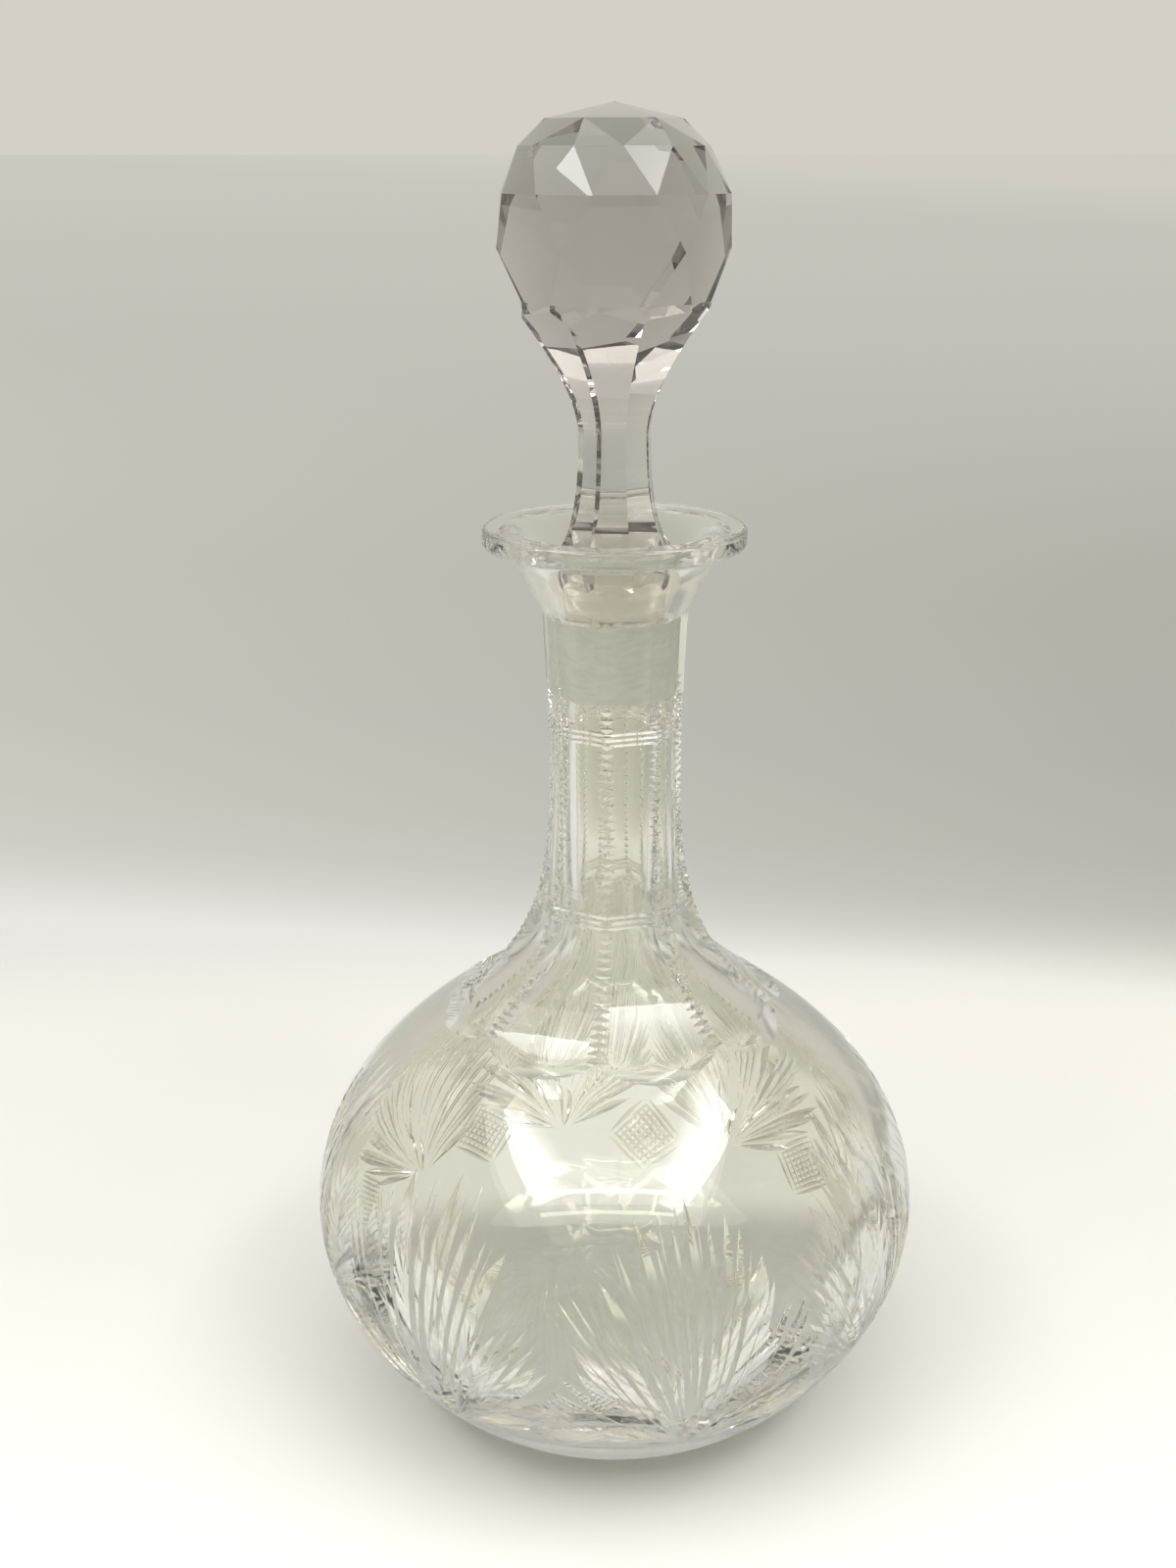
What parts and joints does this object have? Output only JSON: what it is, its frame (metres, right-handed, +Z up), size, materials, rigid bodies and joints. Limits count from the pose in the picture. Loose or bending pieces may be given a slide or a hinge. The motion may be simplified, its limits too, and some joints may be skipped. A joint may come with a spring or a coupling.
{
  "type": "carafe",
  "caption": "Globe-shaped cut-glass carafe with a faceted neck, a wide flat lip and a lift-out faceted ball stopper.",
  "frame": {"origin": "middle of the flat foot, on the surface that the carafe stands on", "axes": "+Z up the axis of the bowl, neck and stopper; -Y faces the viewer of the picture"},
  "size_m": [0.13, 0.13, 0.2684],
  "materials": {
    "clear_glass": "clear polished glass with bright cut grooves",
    "stopper_glass": "clear polished facets above a ground, frosted plug"
  },
  "bodies": {
    "carafe": {"carafe_body": "clear_glass"},
    "stopper": {"stopper": "stopper_glass"}
  },
  "joints": [
    {"name": "stopper_lift", "type": "slide", "parent": "carafe", "child": "stopper", "axis": [0, 0, 1], "range_m": [0, 0.08]}
  ]
}
